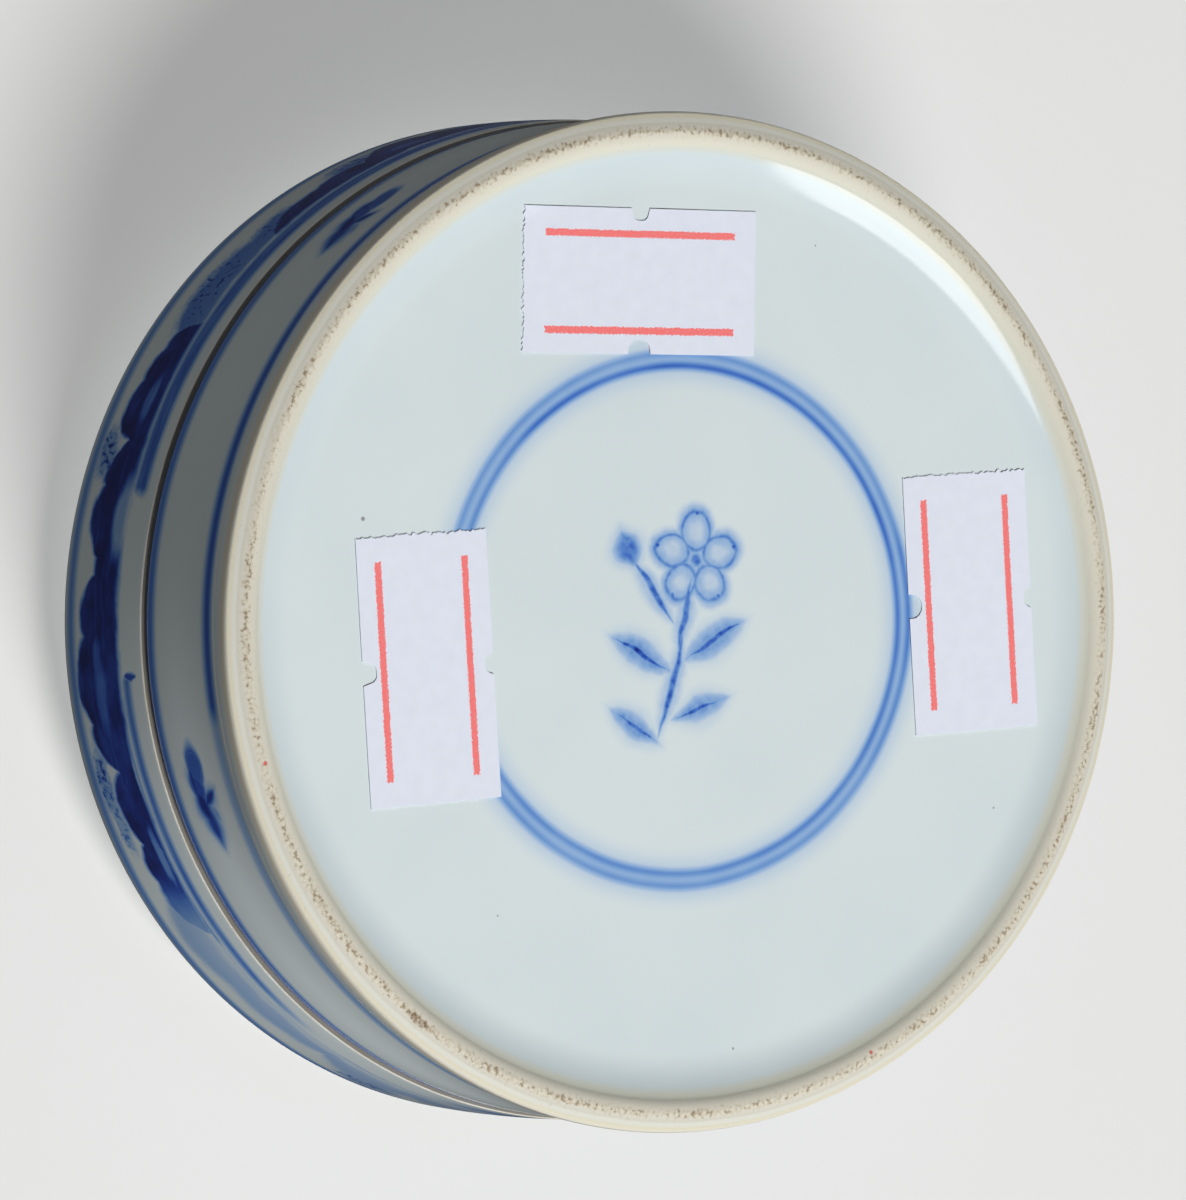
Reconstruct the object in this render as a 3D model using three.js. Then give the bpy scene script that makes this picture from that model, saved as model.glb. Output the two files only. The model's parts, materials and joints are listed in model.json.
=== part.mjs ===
// Round porcelain box with a lift-off cover. Millimetres, +Z up, standing on its foot ring at z = 0.
// The lower box and the cover are turned shapes; three paper labels lie on the glazed underside.
import * as THREE from 'three';

// Lower box, outside
const bodyRadius = 41.8; // outer radius at the seam with the cover
const seamHeight = 15.8; // height of the step that the cover sits on
const footSpread = 0.1; // how far the foot stands out past bodyRadius
const waistDepth = 0.35; // how far the wall is drawn in above the foot
const waistHeight = 5.2; // height of the narrowest part of the wall
const edgeRound = 0.35; // worn edge of the step

// Foot ring and the recessed underside
const recess = 1.9; // depth of the glazed underside above the standing face
const standInset = 1.55; // from the foot's outside to the middle of the standing face
const standWidth = 0.6; // width of the ground standing face
const footRound = 1.6; // rounding from the foot's bevel up into the wall
const footBevel = THREE.MathUtils.degToRad(45); // outer slope of the foot
const innerSlope = 1.4; // width of the foot's unglazed inner slope
const borderWidth = 3.2; // curved border of the glazed underside
const borderDrop = 0.6; // how far that border curves down to the inner slope

// Lower box, inside
const floorThickness = 3.2;
const cavityCove = 6; // cove between the floor and the inner wall
const cavityTaper = 0.5; // the inner wall closes in by this much towards the floor

// Inner rim that stands up inside the cover
const rimHeight = 4; // above the step
const rimThickness = 1.7;
const rimTaper = 0.3; // the rim leans in by this much at its top
const rimRound = 0.6; // rounding of its upper edges
const rimFillet = 0.4; // between the step and the rim

// Cover
const coverOverhang = 0.3; // how far its lower edge stands out past bodyRadius
const coverFlare = 0.5; // how much wider it is at the shoulder than at its lower edge
const coverWallHeight = 13; // from its lower edge to the start of the shoulder
const coverWall = 2.8; // thickness all over
const coverEdge = 0.3; // rounding of its lower edges
const shoulderRound = 5;
const domeSlope = THREE.MathUtils.degToRad(6.5); // slope of the domed top where it leaves the shoulder

// Clearances
const rimClearance = 0.5; // round the inner rim, inside the cover
const seatGap = 0.3; // between the step and the cover's lower edge
const labelGlue = 0.05; // between a label and the glaze

// Paper labels
const labelLength = 21.7;
const labelWidth = 11.9;
const labelThickness = 0.12;
const labelNotch = 1.1; // radius of the feed notch in the middle of each long side
const labels = [
  // around: where on the underside, turn: how far its long side is off square to the radius, in degrees
  // cornerGap: from its outermost corner to the edge of the glazed underside
  { name: 'label_right', around: -9.3, turn: 8, cornerGap: 1.7 },
  { name: 'label_front', around: -100, turn: 5, cornerGap: 6.5 },
  { name: 'label_back', around: 85.6, turn: -0.5, cornerGap: 2.95 },
];

// Smoothness
const turns = 72; // facets round a turned piece
const arcSteps = 2; // path divisions, which give an arc four chords and a curve two

const quarter = Math.PI / 2;
const porcelain = new THREE.MeshStandardMaterial({ color: 0xd3dcdd, roughness: 0.12, metalness: 0 });
const paintedPorcelain = new THREE.MeshStandardMaterial({ color: 0x8ea3c6, roughness: 0.12, metalness: 0 });
const paper = new THREE.MeshStandardMaterial({ color: 0xdcdeec, roughness: 0.85, metalness: 0 });

// Radii that several pieces share
const footRadius = bodyRadius + footSpread;
const coverEdgeRadius = bodyRadius + coverOverhang;
const rimRadius = coverEdgeRadius - coverWall - rimClearance;
const standInner = footRadius - standInset - standWidth / 2;
const standOuter = standInner + standWidth;
const glazeEdge = standInner - innerSlope; // the glazed underside ends here
const flatRadius = glazeEdge - borderWidth;
const borderRadius = (borderWidth ** 2 + borderDrop ** 2) / (2 * borderDrop);

// Turns a profile of radius against height about the Z axis
function turned(name, profile, material) {
  const geometry = new THREE.LatheGeometry(profile.getPoints(arcSteps), turns);
  geometry.rotateX(quarter);
  const mesh = new THREE.Mesh(geometry, material);
  mesh.name = name;
  return mesh;
}

// From the middle of the underside, out over the foot, up the wall, over the rim and back to the floor
function lowerBoxProfile() {
  const floor = recess + floorThickness;
  const borderArc = Math.asin(borderWidth / borderRadius);
  const waistRadius = bodyRadius - waistDepth;
  const bevelEnd = footRadius - footRound * (1 - Math.cos(footBevel));
  const wallFoot = (bevelEnd - standOuter) * Math.tan(footBevel) + footRound * Math.sin(footBevel);
  const footCurve = (waistHeight - wallFoot) / 2;
  const wallCurve = (seamHeight - waistHeight) / 2;
  const rimTop = seamHeight + rimHeight;
  const rimTopOuter = rimRadius - rimTaper;
  const rimTopInner = rimTopOuter - rimThickness;
  const cavityFoot = rimTopInner - cavityTaper;

  const profile = new THREE.Path();
  profile.moveTo(0, recess);
  profile.lineTo(flatRadius, recess);
  profile.absarc(flatRadius, recess - borderRadius, borderRadius, quarter, quarter - borderArc, true);
  profile.lineTo(standInner, 0);
  profile.lineTo(standOuter, 0);
  profile.absarc(footRadius - footRound, wallFoot, footRound, -footBevel, 0, false);
  profile.bezierCurveTo(
    footRadius, wallFoot + footCurve, waistRadius, waistHeight - footCurve, waistRadius, waistHeight);
  profile.bezierCurveTo(
    waistRadius, waistHeight + wallCurve, bodyRadius, seamHeight - wallCurve, bodyRadius, seamHeight - edgeRound);
  profile.absarc(bodyRadius - edgeRound, seamHeight - edgeRound, edgeRound, 0, quarter, false);
  profile.absarc(rimRadius + rimFillet, seamHeight + rimFillet, rimFillet, -quarter, -2 * quarter, true);
  profile.absarc(rimTopOuter - rimRound, rimTop - rimRound, rimRound, 0, quarter, false);
  profile.absarc(rimTopInner + rimRound, rimTop - rimRound, rimRound, quarter, 2 * quarter, false);
  profile.absarc(cavityFoot - cavityCove, floor + cavityCove, cavityCove, 0, -quarter, true);
  profile.lineTo(0, floor);
  return profile;
}

// From the middle of the ceiling, down the inside, round the lower edge, up the wall and over the dome
function coverProfile() {
  const lowerEdge = seamHeight + seatGap;
  const shoulderFoot = lowerEdge + coverWallHeight;
  const shoulderRadius = coverEdgeRadius + coverFlare;
  const shoulderCentre = shoulderRadius - shoulderRound;
  const domeStart = shoulderCentre + shoulderRound * Math.sin(domeSlope);
  const domeRadius = domeStart / Math.sin(domeSlope);
  const domeCentre = shoulderFoot + (shoulderRound - domeRadius) * Math.cos(domeSlope);
  const innerRound = shoulderRound - coverWall;
  const innerEdge = coverEdgeRadius - coverWall;
  const wallCurve = coverWallHeight / 2;

  const profile = new THREE.Path();
  profile.moveTo(0, domeCentre + domeRadius - coverWall);
  profile.absarc(0, domeCentre, domeRadius - coverWall, quarter, quarter - domeSlope, true);
  profile.absarc(shoulderCentre, shoulderFoot, innerRound, quarter - domeSlope, 0, true);
  profile.absarc(innerEdge + coverEdge, lowerEdge + coverEdge, coverEdge, 2 * quarter, 3 * quarter, false);
  profile.absarc(coverEdgeRadius - coverEdge, lowerEdge + coverEdge, coverEdge, -quarter, 0, false);
  profile.quadraticCurveTo(shoulderRadius, shoulderFoot - wallCurve, shoulderRadius, shoulderFoot);
  profile.absarc(shoulderCentre, shoulderFoot, shoulderRound, 0, quarter - domeSlope, false);
  profile.absarc(0, domeCentre, domeRadius, quarter - domeSlope, quarter, false);
  return profile;
}

// Rectangle of paper with a round notch in the middle of both long sides
function labelOutline() {
  const halfLength = labelLength / 2;
  const halfWidth = labelWidth / 2;
  const outline = new THREE.Shape();
  outline.moveTo(-halfLength, -halfWidth);
  outline.lineTo(-labelNotch, -halfWidth);
  outline.absarc(0, -halfWidth, labelNotch, 2 * quarter, 0, true);
  outline.lineTo(halfLength, -halfWidth);
  outline.lineTo(halfLength, halfWidth);
  outline.absarc(0, halfWidth, labelNotch, 0, -2 * quarter, true);
  outline.lineTo(-halfLength, halfWidth);
  return outline;
}

// Lays a label on the underside, flat and resting on the curved border if its corners reach that
function label({ name, around, turn, cornerGap }) {
  const lean = THREE.MathUtils.degToRad(Math.abs(turn));
  const outward = (labelWidth * Math.cos(lean) + labelLength * Math.sin(lean)) / 2;
  const sideways = (labelLength * Math.cos(lean) - labelWidth * Math.sin(lean)) / 2;
  const cornerRadius = glazeEdge - cornerGap;
  const distance = Math.sqrt(cornerRadius ** 2 - sideways ** 2) - outward;
  const ontoBorder = Math.max(0, cornerRadius - flatRadius);
  const rest = recess - borderRadius + Math.sqrt(borderRadius ** 2 - ontoBorder ** 2);
  const angle = THREE.MathUtils.degToRad(around);
  const geometry = new THREE.ExtrudeGeometry(labelOutline(), {
    depth: labelThickness,
    bevelEnabled: false,
    curveSegments: 2 * arcSteps,
  });
  const mesh = new THREE.Mesh(geometry, paper);
  mesh.name = name;
  mesh.position.set(
    distance * Math.cos(angle), distance * Math.sin(angle), rest - labelGlue - labelThickness);
  mesh.rotation.z = angle + quarter + THREE.MathUtils.degToRad(turn);
  return mesh;
}

const box = new THREE.Group();
box.add(turned('lower_box', lowerBoxProfile(), porcelain));
box.add(turned('cover', coverProfile(), paintedPorcelain));
for (const place of labels) {
  box.add(label(place));
}

export default box;
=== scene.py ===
# Round blue and white porcelain box, seen from the foot as it lies on its cover.
import json
import math

import bpy
from mathutils import Matrix, Vector

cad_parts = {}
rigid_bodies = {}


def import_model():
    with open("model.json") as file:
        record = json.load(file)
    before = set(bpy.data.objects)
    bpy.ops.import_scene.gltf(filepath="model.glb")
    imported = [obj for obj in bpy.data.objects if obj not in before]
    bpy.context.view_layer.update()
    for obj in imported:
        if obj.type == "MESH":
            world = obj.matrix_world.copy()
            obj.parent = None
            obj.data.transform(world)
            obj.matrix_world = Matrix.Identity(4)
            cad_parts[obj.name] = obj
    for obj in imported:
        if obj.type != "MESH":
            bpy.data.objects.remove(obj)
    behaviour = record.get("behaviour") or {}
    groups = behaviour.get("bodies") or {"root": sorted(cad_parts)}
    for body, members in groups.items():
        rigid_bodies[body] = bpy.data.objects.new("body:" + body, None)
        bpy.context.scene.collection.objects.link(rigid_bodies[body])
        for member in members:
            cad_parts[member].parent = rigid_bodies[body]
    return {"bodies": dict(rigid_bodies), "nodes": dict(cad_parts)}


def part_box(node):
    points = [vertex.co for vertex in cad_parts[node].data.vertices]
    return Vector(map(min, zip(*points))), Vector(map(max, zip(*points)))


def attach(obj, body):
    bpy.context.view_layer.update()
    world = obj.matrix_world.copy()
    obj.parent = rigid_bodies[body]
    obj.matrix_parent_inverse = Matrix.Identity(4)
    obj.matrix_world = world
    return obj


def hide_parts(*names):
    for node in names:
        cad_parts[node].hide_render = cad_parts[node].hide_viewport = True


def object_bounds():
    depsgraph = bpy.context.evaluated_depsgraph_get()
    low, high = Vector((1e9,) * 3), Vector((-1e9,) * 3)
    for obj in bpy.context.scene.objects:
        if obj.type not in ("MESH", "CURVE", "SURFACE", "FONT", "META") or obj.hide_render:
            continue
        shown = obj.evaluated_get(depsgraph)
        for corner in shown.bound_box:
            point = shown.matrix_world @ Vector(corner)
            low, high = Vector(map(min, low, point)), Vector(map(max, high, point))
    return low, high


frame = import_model()
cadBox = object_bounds()
bpy.ops.object.select_all(action="DESELECT")
mm = 0.001
# the node tree that is being wired
bench = {"tree": None}
print("frame loaded:", ", ".join(sorted(frame["nodes"])))


def linear(hexColour):
    # sRGB hex to the linear colour that the shaders take
    channels = [int(hexColour[i:i + 2], 16) / 255 for i in (0, 2, 4)]
    return tuple(c / 12.92 if c <= 0.04045 else ((c + 0.055) / 1.055) ** 2.4 for c in channels) + (1.0,)


def plug(socket, value):
    # links a socket to another one or to a node's first live output, or sets it to a number or a hex colour
    if isinstance(value, bpy.types.Node):
        value = next(output for output in value.outputs if output.enabled)
    if isinstance(value, bpy.types.NodeSocket):
        bench["tree"].links.new(value, socket)
    else:
        socket.default_value = linear(value) if isinstance(value, str) else value


def addNode(kind, inputs=(), stops=(), **settings):
    # inputs are plugged in by place or by name; stops fill a colour ramp
    node = bench["tree"].nodes.new("ShaderNode" + kind)
    for name, value in settings.items():
        setattr(node, name, value)
    for i, (place, colour) in enumerate(stops):
        element = node.color_ramp.elements[i] if i < 2 else node.color_ramp.elements.new(place)
        element.position, element.color = place, linear(colour)
    for socket, value in inputs.items() if isinstance(inputs, dict) else enumerate(inputs):
        plug(node.inputs[socket], value)
    return node


def newFinish(name):
    # an empty material, with its node tree on the bench
    finish = bpy.data.materials.new(name)
    finish.use_nodes = True
    bench["tree"] = finish.node_tree
    return finish


def potSpace():
    # where a point lies on the box: millimetres from its foot and axis, and degrees round from +X
    place = addNode("TexCoord").outputs["Object"]
    place = addNode("VectorMath", {0: place, "Scale": 1 / mm}, operation="SCALE")
    axes = addNode("SeparateXYZ", (place,)).outputs
    flat = addNode("VectorMath", (place, (1, 1, 0)), operation="MULTIPLY")
    bearing = addNode("Math", (axes["Y"], axes["X"]), operation="ARCTAN2")
    return {"place": place, "flat": flat, "x": axes["X"], "y": axes["Y"], "height": axes["Z"],
            "radius": addNode("VectorMath", (flat,), operation="LENGTH"),
            "around": addNode("Math", (bearing,), operation="DEGREES")}


def onPot(bearing, reach):
    # the point in this direction, in degrees, and this far from the axis
    return reach * math.cos(math.radians(bearing)), reach * math.sin(math.radians(bearing))


def combine(operation, *parts):
    # folds several masks into one: MAXIMUM where strokes cover each other, ADD where they soak together
    result = parts[0]
    for other in parts[1:]:
        result = addNode("Math", (result, other), operation=operation)
    return result


def layOver(body, *layers):
    # lays colours over a body, each through its mask
    for amount, colour in layers:
        body = addNode("Mix", {0: amount, 6: body, 7: colour}, data_type="RGBA")
    return body


def soften(value, start, end, low, high):
    # a smooth step from low to high while the value goes from start to end
    return addNode("MapRange", (value, start, end, low, high), interpolation_type="SMOOTHSTEP")


def awayFrom(value, at):
    # how far off a value is, either way
    return addNode("Math", (combine("SUBTRACT", value, at),), operation="ABSOLUTE")


# In the settings of the finishes a noise is its size in mm, or two sizes along and across, its detail, the
# part of its range that counts and the tones which that part gives. A bump is its size and depth in mm and
# its detail, and a shake its size and swing. A fade is where it starts and ends and its strength there. A
# painted line is where it lies, its width, how far it bled and its strength. A stroke of the brush is its
# middle, turn, length, width and strength, and its edge is how soft it is and how far it bled.


def cloud(place, size, detail=1, spread=(), tones=(0, 1)):
    # seamless noise
    if isinstance(size, tuple):
        place = addNode("VectorMath", (place, (1 / size[0], 1 / size[1], 0)), operation="MULTIPLY")
        size = 1
    noise = addNode("TexNoise", {"Vector": place, "Scale": 1 / size, "Detail": detail})
    return addNode("MapRange", (noise, *spread, *tones)) if spread else noise


def setSurface(finish, place, colour, surface):
    # wires a finish's colour, shine and bumps, each bump on the one before
    wires = {"Base Color": colour, "Roughness": surface["roughness"], "IOR": glaze["ior"]}
    under = {}
    for size, depth, detail in surface["bumps"]:
        bump = {"Strength": 1, "Distance": depth * mm, "Height": cloud(place, size, detail)}
        under = {"Normal": addNode("Bump", bump | under)}
    for name, value in (wires | under).items():
        plug(finish.node_tree.nodes["Principled BSDF"].inputs[name], value)
    return finish


# Clear bluish glaze on white porcelain: a wet shine over a body that is never quite one colour
glaze = {
    "thin": "D7E1E2", "pooled": "CCD8DB", "clouds": (14, 3, (0.3, 0.75), (0, 0.5)),
    "roughness": 0.1, "ior": 1.5,
    # the slow waves and fine dimples that it sets with
    "bumps": ((5, 0.012, 1), (0.5, 0.0006, 1)),
}


def glazeBody(space, poolingAndShade=0):
    # the colour of the bare glaze, darkened through a mask of where it ran together, which on the underside
    # also carries painted shade towards the border
    clouds = cloud(space["place"], *glaze["clouds"])
    depth = addNode("Math", (clouds, poolingAndShade), operation="ADD", use_clamp=True)
    return layOver(glaze["thin"], (depth, glaze["pooled"]))


# Cobalt on the raw body: thin washes fire to sky blue, loaded strokes to ink blue, softened by the glaze
cobalt = {
    "washes": ((0.0, "B4CAE0"), (0.3, "A2BCDC"), (0.45, "8CAED8"), (0.6, "6C96CF"), (0.75, "4B77C6"),
               (0.86, "2F54B0"), (0.94, "22388F"), (1.0, "141D56")),
    "opaqueAt": 0.3,
    # how strokes bleed, how the rims of dabs dry, and how clumps, leaves and hills are rounded off
    "bleed": (0.2, 1.4, 0.4), "dabRim": (0.8, 0.5, 0.4), "dabEdge": (0.6, 1.3),
    "clumpEdge": (0.45, 1.2), "flicks": (0.42, 0.68), "hillRound": 0.6,
}


def cobaltOver(strength, body):
    # strength runs from bare glaze at 0 to the most loaded stroke at 1
    wash = addNode("ValToRGB", (strength,), stops=cobalt["washes"])
    return layOver(body, (addNode("MapRange", (strength, 0, cobalt["opaqueAt"], 0, 1)), wash))


def handDrawn(plane, size, swing, by=None):
    # shakes a plane, so that nothing drawn on it is ruled; by is a place on the pot, if it has a seam
    shake = addNode("VectorMath", (cloud(by or plane, size).outputs["Color"], (0.5, 0.5, 0.5)),
                    operation="SUBTRACT")
    offset = addNode("VectorMath", {0: shake, "Scale": 2 * swing}, operation="SCALE")
    return addNode("VectorMath", (plane, offset), operation="ADD")


def touch(plane, at, size, turn=0, pointed=False):
    # how far out a point lies from the middle of an oval or of a shape with two points: 1 is its outline
    local = addNode("Mapping", {"Vector": plane, "Location": (*at, 0), "Rotation": (0, 0, math.radians(turn)),
                                "Scale": (*size, 1)}, vector_type="TEXTURE")
    if not pointed:
        return addNode("VectorMath", (local,), operation="LENGTH")
    axes = addNode("SeparateXYZ", (local,)).outputs
    across = addNode("Math", (axes["Y"],), operation="ABSOLUTE")
    return addNode("Math", (axes["X"], axes["X"], across), operation="MULTIPLY_ADD")


def brushStroke(plane, stroke, edge, bleed=0):
    # a stroke pointed at both ends and full in the middle, over the paler patch that bled out of it
    x, y, turn, length, width, strength = stroke
    drawn = touch(plane, (x, y), (length / 2, width / 2), turn, True)
    drawn = soften(drawn, 1 - edge, 1 + edge, strength, 0)
    if not bleed:
        return drawn
    start, end, share = cobalt["bleed"]
    patch = touch(plane, (x, y), (length / 2 + bleed, width / 2 + bleed), turn, True)
    return combine("MAXIMUM", drawn, soften(patch, start, end, share * strength, 0))


def paintedLine(distance, at, width, bleed, strength):
    # a line drawn on the turning wheel, soft where the blue bled into the glaze
    return soften(awayFrom(distance, at), width / 2 - bleed, width / 2 + bleed, strength, 0)


def ovalDab(plane, dab):
    # a rounded touch of thin colour, darker round its rim where the wet edge dried
    x, y, turn, length, width, strength, rim = dab
    field = touch(plane, (x, y), (length / 2, width / 2), turn)
    return combine("MAXIMUM", paintedLine(field, *cobalt["dabRim"], rim),
                   soften(field, *cobalt["dabEdge"], strength, 0))


def roundFrom(space, start, low, high):
    # degrees round from a bearing, begun again at each end
    turned = addNode("Math", (space["around"], -start), operation="ADD")
    return addNode("Math", (turned, low, high), operation="WRAP")


def alongWall(space, start, half, radius):
    # millimetres along the wall from a bearing, begun again half a patch away from it
    return combine("MULTIPLY", roundFrom(space, start, -half, half), math.radians(radius))


def wheelLines(space, distance, lines):
    # lines whose brush is fullest where it came down, and less full on its way round the turning pot: each has
    # that bearing, the degrees until the brush is down, runs short and is dry, and its first and last load
    strokes = []
    for line, (start, down, hold, dry), (first, last) in lines:
        run = roundFrom(space, start, 0, 360)
        strokes.append(combine("MULTIPLY", paintedLine(distance, *line),
                               addNode("MapRange", (run, hold, dry, first, last)),
                               soften(run, 0, down, last / first, 1)))
    return strokes


def skyline(along, hills, foot):
    # the upper edge of a row of rounded hills, each with its middle, half width and top
    crests = []
    for at, half, top in hills:
        off = addNode("Math", (along, 1 / half, -at / half), operation="MULTIPLY_ADD")
        dome = addNode("Math", (1, combine("MULTIPLY", off, off)), operation="SUBTRACT", use_clamp=True)
        dome = addNode("Math", (dome, cobalt["hillRound"]), operation="POWER")
        crests.append(addNode("Math", (dome, top - foot, foot), operation="MULTIPLY_ADD"))
    return combine("MAXIMUM", *crests)


def hillWash(along, height, hills):
    # a row of hills in one load of colour, which pales towards their foot and is lost in mist there
    foot, mist, edge = hills["foot"], hills["mist"], hills["edge"]
    below = combine("SUBTRACT", skyline(along, hills["hills"], foot), height)
    return combine("MULTIPLY", soften(below, -edge, edge, 0, 1),
                   soften(height, foot - mist, foot + mist, 0, 1),
                   soften(below, 0, hills["fade"], *hills["strength"]))


def clumps(plane, places):
    # soft oval patches, each with its depth, where leaves gather or a wash was left thin
    patches = []
    for x, y, halfWidth, halfHeight, depth in places:
        patch = touch(plane, (x, y), (halfWidth, halfHeight))
        patches.append(soften(patch, *cobalt["clumpEdge"], depth, 0))
    return combine("MAXIMUM", *patches)


def leafage(plane, leaves):
    # a thin wash full of upright flicks of the brush tip, for trees
    size = leaves["size"]
    flicks = soften(cloud(plane, (size, 2 * size), 2), *cobalt["flicks"], *leaves["strength"])
    return combine("MULTIPLY", flicks, clumps(handDrawn(plane, 2 * size, size), leaves["places"]))


# Underside: the double ring, a flowering sprig in the middle of it, and a few pinholes
underside = {
    "ringAt": (0.21, 0.06, 0), "ringShake": (9, 0.08), "load": (6, 2, (0.3, 0.7), (0.93, 1.06)),
    "soaked": ((21.37, 3.2, 1.3, 0.22), (21.37, 1.75, 0.35, 0.20)),
    "lines": (((20.85, 0.5, 0.33, 0.24), (-49, 9, 95, 230), (1.6, 0.98)),
              ((21.89, 0.5, 0.33, 0.18), (66, 9, 20, 60), (1.8, 1.0))),
    "petals": 5, "blossomAt": (1.4, 5.2, 0), "petalAt": (2.35, 0), "petalSize": (1.75, 1.55),
    "outline": (0.86, 0.28, 0.3, 0.84), "petalFade": (0.2, 0.9, 0.2, 0.46), "petalEdge": (0.8, 1.55, 1, 0),
    "heart": 0.75, "tipAt": (3.75, 0, 0), "tip": 0.3, "pooled": (0.2, 1.5, 0.8),
    "sprigEdge": (0.75, 0.8), "sprigShake": (2.5, 0.35), "grain": (0.7, 2, (0.35, 0.65), (0.86, 1.08)),
    "sprig": ((0.5, 0.6, 80, 6.8, 0.7, 0.78), (-0.6, -5.0, 75, 9.0, 0.75, 0.82),
              (3.3, -1.4, 32, 6.6, 2.3, 0.58), (3.3, -1.4, 32, 6.2, 0.6, 0.86),
              (-3.6, -2.6, 152, 6.4, 2.2, 0.60), (-3.6, -2.6, 152, 6.0, 0.6, 0.88),
              (2.2, -7.0, 20, 5.6, 1.9, 0.56), (2.0, -7.1, 20, 4.8, 0.5, 0.80),
              (-4.0, -8.6, 148, 5.2, 1.8, 0.60), (-3.8, -8.7, 148, 4.6, 0.5, 0.82),
              (-2.6, 2.6, 128, 6.6, 0.6, 0.76), (-5.0, 6.0, 115, 3.2, 2.4, 0.74)),
    "pinholes": ((7.8, -29.4, 0.26), (-35.1, 5.6, 0.15), (-15.2, 30.6, 0.13), (31.5, 12.0, 0.11),
                 (-24.0, -16.5, 0.11)),
    # the glaze darkens towards the border: pooled glaze, with painted shade in the curve down to the foot
    "pinhole": "70706A", "pinholeFade": (0.3, 1, 0.8, 0), "poolAndShadeFade": (35.6, 38.4, 0, 0.7),
    "edge": "D2D3C5", "edgeAt": (0.14, -0.12, 0), "edgeFade": (38.15, 39.0, 0, 1),
}


def sprigStrength(space):
    # blossom, stem and leaves, drawn as they are seen from below
    s = underside
    plane = handDrawn(addNode("CombineXYZ", (space["y"], space["x"])), *s["sprigShake"])
    strokes = [brushStroke(plane, stroke, *s["sprigEdge"]) for stroke in s["sprig"]]
    # one petal, which repeats round the heart of the blossom
    spread = addNode("VectorMath", (plane, s["blossomAt"]), operation="SUBTRACT")
    axes = addNode("SeparateXYZ", (spread,)).outputs
    reach = addNode("VectorMath", (spread,), operation="LENGTH")
    half = math.pi / s["petals"]
    turn = addNode("Math", (axes["X"], axes["Y"]), operation="ARCTAN2")
    turn = addNode("Math", (turn, -half, half), operation="WRAP")
    petal = addNode("CombineXYZ", [combine("MULTIPLY", reach, addNode("Math", (turn,), operation=part))
                                   for part in ("COSINE", "SINE")])
    field = touch(petal, s["petalAt"], s["petalSize"])
    strokes.append(paintedLine(field, *s["outline"]))
    strokes.append(combine("MULTIPLY", soften(field, *s["petalFade"]), soften(field, *s["petalEdge"])))
    # colour pooled at the heart and the petals' tips
    tip = addNode("VectorMath", (petal, s["tipAt"]), operation="DISTANCE")
    start, end, strength = s["pooled"]
    for away, size in ((reach, s["heart"]), (tip, s["tip"])):
        strokes.append(soften(away, start * size, end * size, strength, 0))
    return combine("MULTIPLY", combine("MAXIMUM", *strokes), cloud(space["flat"], *s["grain"]))


def ringStrength(space):
    # two lines drawn on the wheel, in a band that soaked up what bled out of them
    s = underside
    drawn = addNode("VectorMath", (space["flat"], s["ringAt"]), operation="SUBTRACT")
    reach = addNode("VectorMath", (handDrawn(drawn, *s["ringShake"]),), operation="LENGTH")
    soaked = [paintedLine(reach, *band) for band in s["soaked"]]
    return combine("ADD", *soaked, *wheelLines(space, reach, s["lines"]))


def undersideGlaze():
    finish = newFinish("clear glaze with cobalt ring")
    space, s = potSpace(), underside
    edge = addNode("VectorMath", (space["flat"], s["edgeAt"]), operation="DISTANCE")
    # pooled glaze and painted shade darken the body towards the border
    body = glazeBody(space, soften(space["radius"], *s["poolAndShadeFade"]))
    body = layOver(body, (soften(edge, *s["edgeFade"]), s["edge"]))
    painted = combine("MAXIMUM", ringStrength(space), sprigStrength(space))
    colour = cobaltOver(combine("MULTIPLY", painted, cloud(space["flat"], *s["load"])), body)
    for x, y, size in s["pinholes"]:
        spot = touch(space["flat"], (x, y), (size, size))
        colour = layOver(colour, (soften(spot, *s["pinholeFade"]), s["pinhole"]))
    return setSurface(finish, space["place"], colour, glaze)


# Biscuit of the foot: dry white porcelain, toasted yellow along the glaze and worn tan where it stands
foot = {
    "bands": ((39.0, "D2D2C3"), (39.25, "D2D0C1"), (39.5, "D2CFC0"), (39.8, "D3CFC0"), (40.05, "D3CEBF"),
              (40.3, "D1CCBC"), (40.52, "CEC9BB"), (40.72, "CBC8BC"), (40.93, "C6C3B6"), (41.1, "D1D0C6"),
              (41.3, "D0CFC5"), (41.5, "CFCAB4"), (41.7, "D3CEBB"), (41.85, "D2CFC4")),
    "sway": (22, 0.26), "ripple": (3, 0.06),
    # iron specks lie along the crest, thick in some stretches and thin in others
    "crest": (40.3, 0.78, 0.39, 1), "clumps": (5, 2, (0.35, 0.65), (0.62, 1)),
    "grit": (0.34, 2), "gather": 0.36,
    "smear": "B9AE97", "smearFade": (0.6, 0.86, 0, 0.6), "speck": "826F54", "speckFade": (0.79, 0.95, 0, 0.8),
    # one larger iron stain and two red pencil dots, each at a bearing and a reach
    "stain": "6F5636", "stainAt": (-143, 40.4), "stainStroke": (2.6, 0.7, 0.9), "stainEdge": 0.35,
    "stainBreaks": (0.35, 0.6, 0.3, 1),
    "dots": ((-107, 40.1, 0.26), (153, 39.9, 0.22)), "dot": "CC5248", "dotFade": (0.5, 1, 0.85, 0),
    "roughness": 0.6, "bumps": ((0.16, 0.018, 2),),
}


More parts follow.
